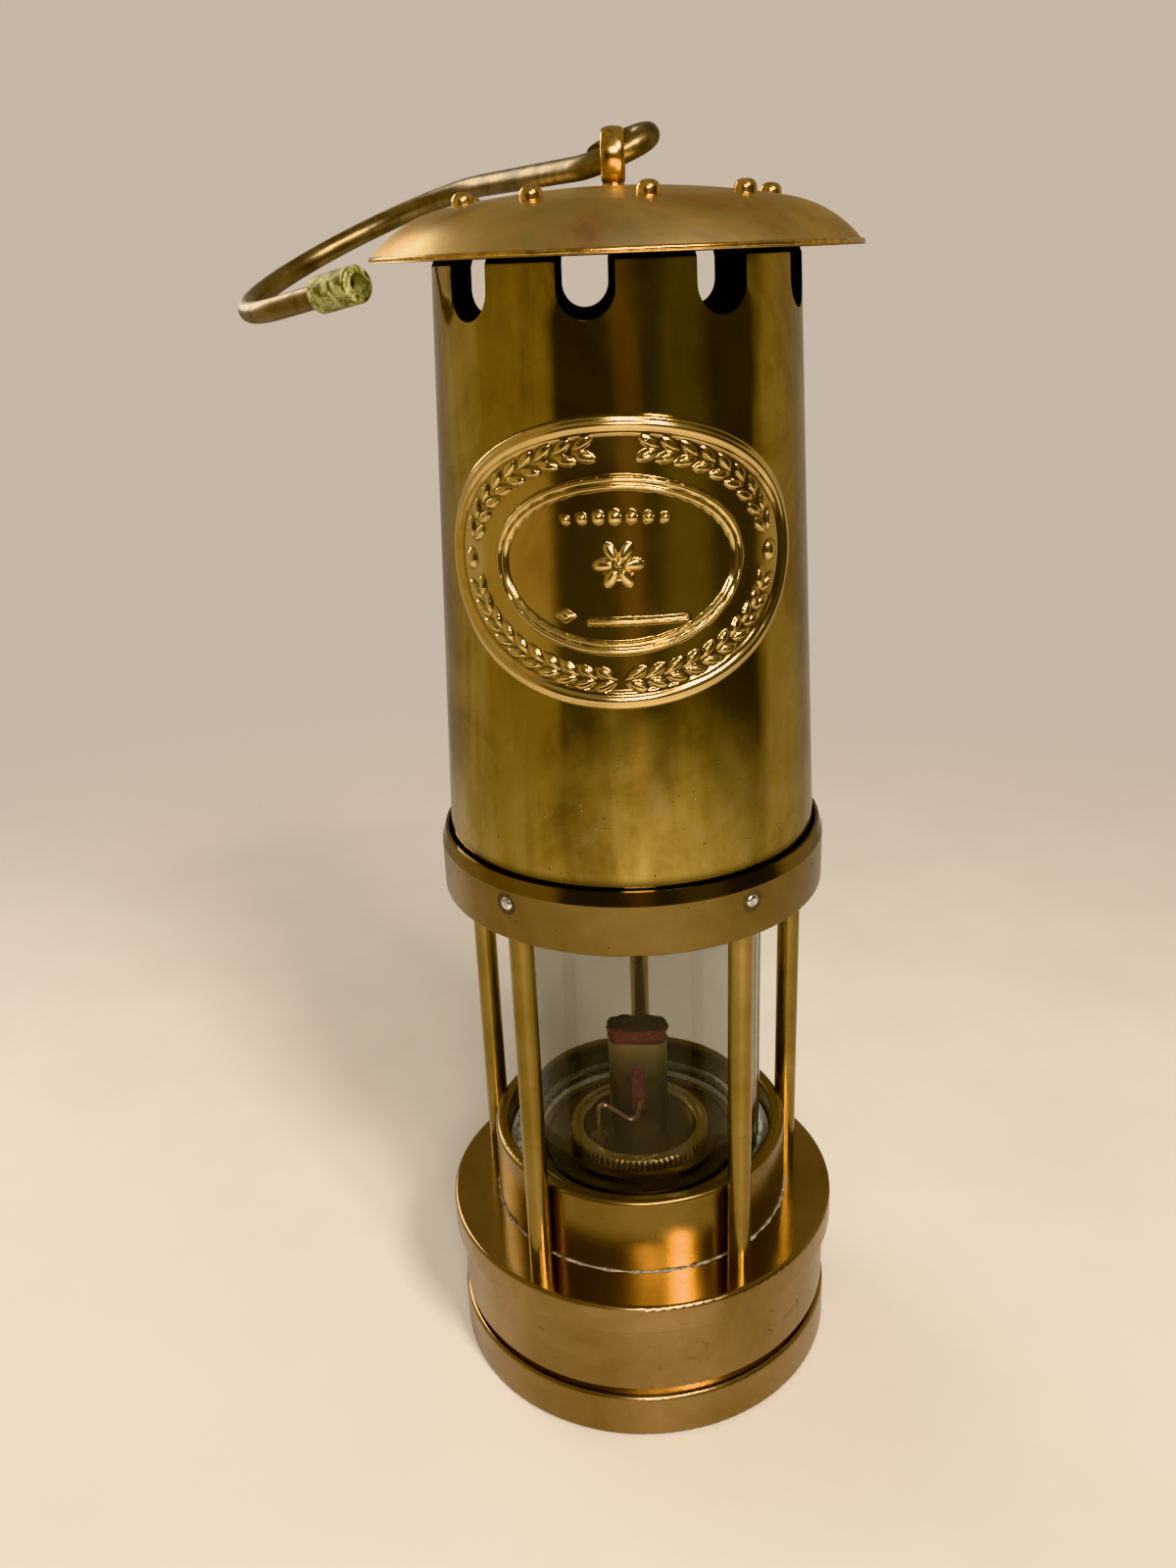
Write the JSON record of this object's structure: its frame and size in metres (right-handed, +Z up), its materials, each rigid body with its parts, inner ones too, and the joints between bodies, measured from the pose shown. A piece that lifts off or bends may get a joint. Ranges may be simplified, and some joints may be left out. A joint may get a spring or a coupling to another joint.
{
  "type": "miner's safety lamp",
  "caption": "Brass flame safety lamp: oil vessel, glass in a pillared frame, tall bonnet with vent slots, domed hood, swivel eye and carrying hook.",
  "frame": {"origin": "on the lamp's axis, at the level of the surface that the foot stands on", "axes": "+Z up along the lamp's axis; -Y is the front, where the badge is; +X to the right"},
  "size_m": [0.1239, 0.0994, 0.2662],
  "materials": {
    "turned_brass": "satin turned brass, lightly tarnished",
    "bonnet_brass": "polished sheet brass with brown tarnish",
    "hood_brass": "polished spun brass with heat colours",
    "rod_brass": "dull drawn brass",
    "green_brass": "brass with green corrosion",
    "steel_pin": "bright steel",
    "steel_gauze": "sooty woven steel wire",
    "copper_wire": "bare copper wire",
    "clear_glass": "clear, ground ends",
    "fibre_washer": "compressed fibre",
    "wick_cotton": "woven cotton, charred at the top",
    "wadding": "cotton wadding"
  },
  "bodies": {
    "vessel": {"oil_vessel": "turned_brass", "vessel_lid": "turned_brass", "fuel_wadding": "wadding", "burner_plate": "turned_brass", "burner_ring": "turned_brass", "wick_tube": "rod_brass", "pricker_tube": "rod_brass"},
    "pricker": {"pricker_knob": "turned_brass", "pricker_wire": "copper_wire"},
    "wick_strip": {"wick": "wick_cotton"},
    "glass_frame": {"base_ring": "turned_brass", "glass_collar": "turned_brass", "lower_gasket": "fibre_washer", "lamp_glass": "clear_glass", "upper_gasket": "fibre_washer", "upper_ring": "turned_brass", "pillar_1": "turned_brass", "pillar_2": "turned_brass", "pillar_3": "turned_brass", "pillar_4": "turned_brass", "pillar_5": "turned_brass", "ring_pins": "steel_pin", "inner_gauze": "steel_gauze", "outer_gauze": "steel_gauze", "gauze_ring": "turned_brass"},
    "bonnet": {"bonnet_tube": "bonnet_brass", "badge": "bonnet_brass", "hood": "hood_brass", "hood_rivets": "hood_brass"},
    "swivel": {"swivel_eye": "hood_brass", "swivel_nut": "turned_brass"},
    "hook": {"hook_rod": "rod_brass", "hook_ferrule": "green_brass"}
  },
  "joints": [
    {"name": "pricker_push", "type": "slide", "parent": "vessel", "child": "pricker", "axis": [0, 0, 1], "range_m": [0, 0.006]},
    {"name": "wick_rise", "type": "slide", "parent": "vessel", "child": "wick_strip", "axis": [0, 0, 1], "range_m": [0, 0.006]},
    {"name": "frame_lift", "type": "slide", "parent": "vessel", "child": "glass_frame", "axis": [0, 0, 1], "range_m": [0, 0.07]},
    {"name": "bonnet_lift", "type": "slide", "parent": "glass_frame", "child": "bonnet", "axis": [0, 0, 1], "range_m": [0, 0.1]},
    {"name": "swivel_turn", "type": "hinge", "parent": "bonnet", "child": "swivel", "pos_m": [0, 0, 0.2603], "axis": [0, 0, 1], "continuous": true},
    {"name": "hook_lift", "type": "hinge", "parent": "swivel", "child": "hook", "pos_m": [0, 0, 0.2603], "axis": [0, 1, 0], "range_deg": [0, 38]}
  ],
  "couplings": [
    {"joint": "wick_rise", "follows": "pricker_push", "ratio": 1}
  ]
}
